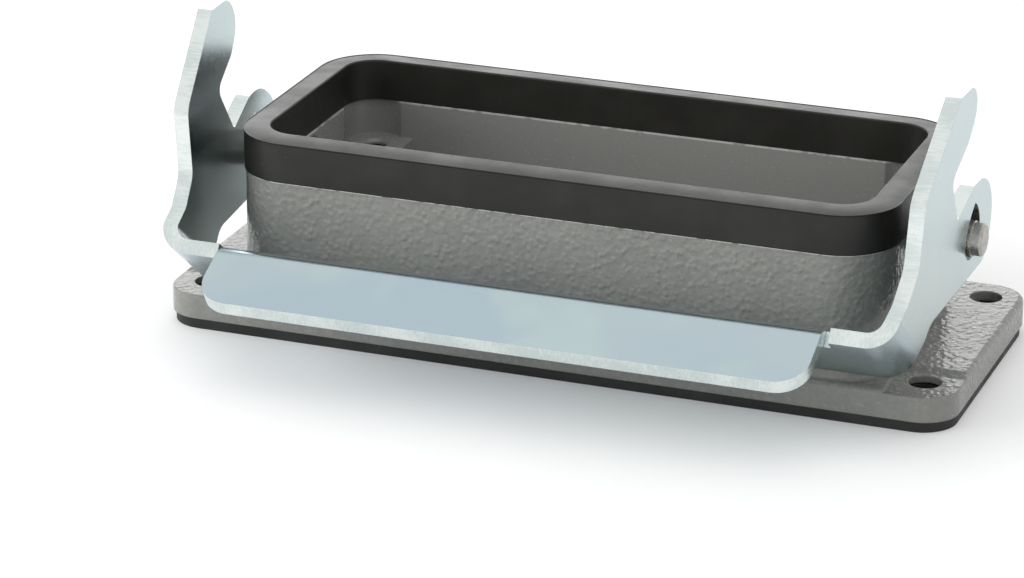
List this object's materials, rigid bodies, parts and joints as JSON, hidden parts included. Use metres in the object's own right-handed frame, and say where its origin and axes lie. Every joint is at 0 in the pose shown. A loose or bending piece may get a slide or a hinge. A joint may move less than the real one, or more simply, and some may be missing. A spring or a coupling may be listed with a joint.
{
  "type": "rectangular connector bulkhead housing",
  "caption": "Rectangular flanged connector housing with a rubber sealed collar and one swinging sheet metal locking lever.",
  "frame": {"origin": "centre of the four fixing holes on the gasket's underside, which is the panel's surface", "axes": "+X along the collar's long side, +Z out of the panel towards the hood, -Y to the side where the open lever's handle is"},
  "size_m": [0.113, 0.0627, 0.0436],
  "materials": {
    "housing_paint": "warm mid grey textured powder coat on a die casting",
    "seal_rubber": "black moulded rubber, satin",
    "gasket_rubber": "black moulded rubber, matt",
    "pin_steel": "turned steel",
    "lever_zinc": "bright zinc plated sheet steel, pale bluish"
  },
  "bodies": {
    "housing": {"housing": "housing_paint", "collar_seal": "seal_rubber", "flange_gasket": "gasket_rubber", "left_pivot_pin": "pin_steel", "right_pivot_pin": "pin_steel"},
    "lever": {"locking_lever": "lever_zinc"}
  },
  "joints": [
    {"name": "lever_hinge", "type": "hinge", "parent": "housing", "child": "lever", "pos_m": [0, 0, 0.0198], "axis": [-1, 0, 0], "range_deg": [0, 52]}
  ]
}
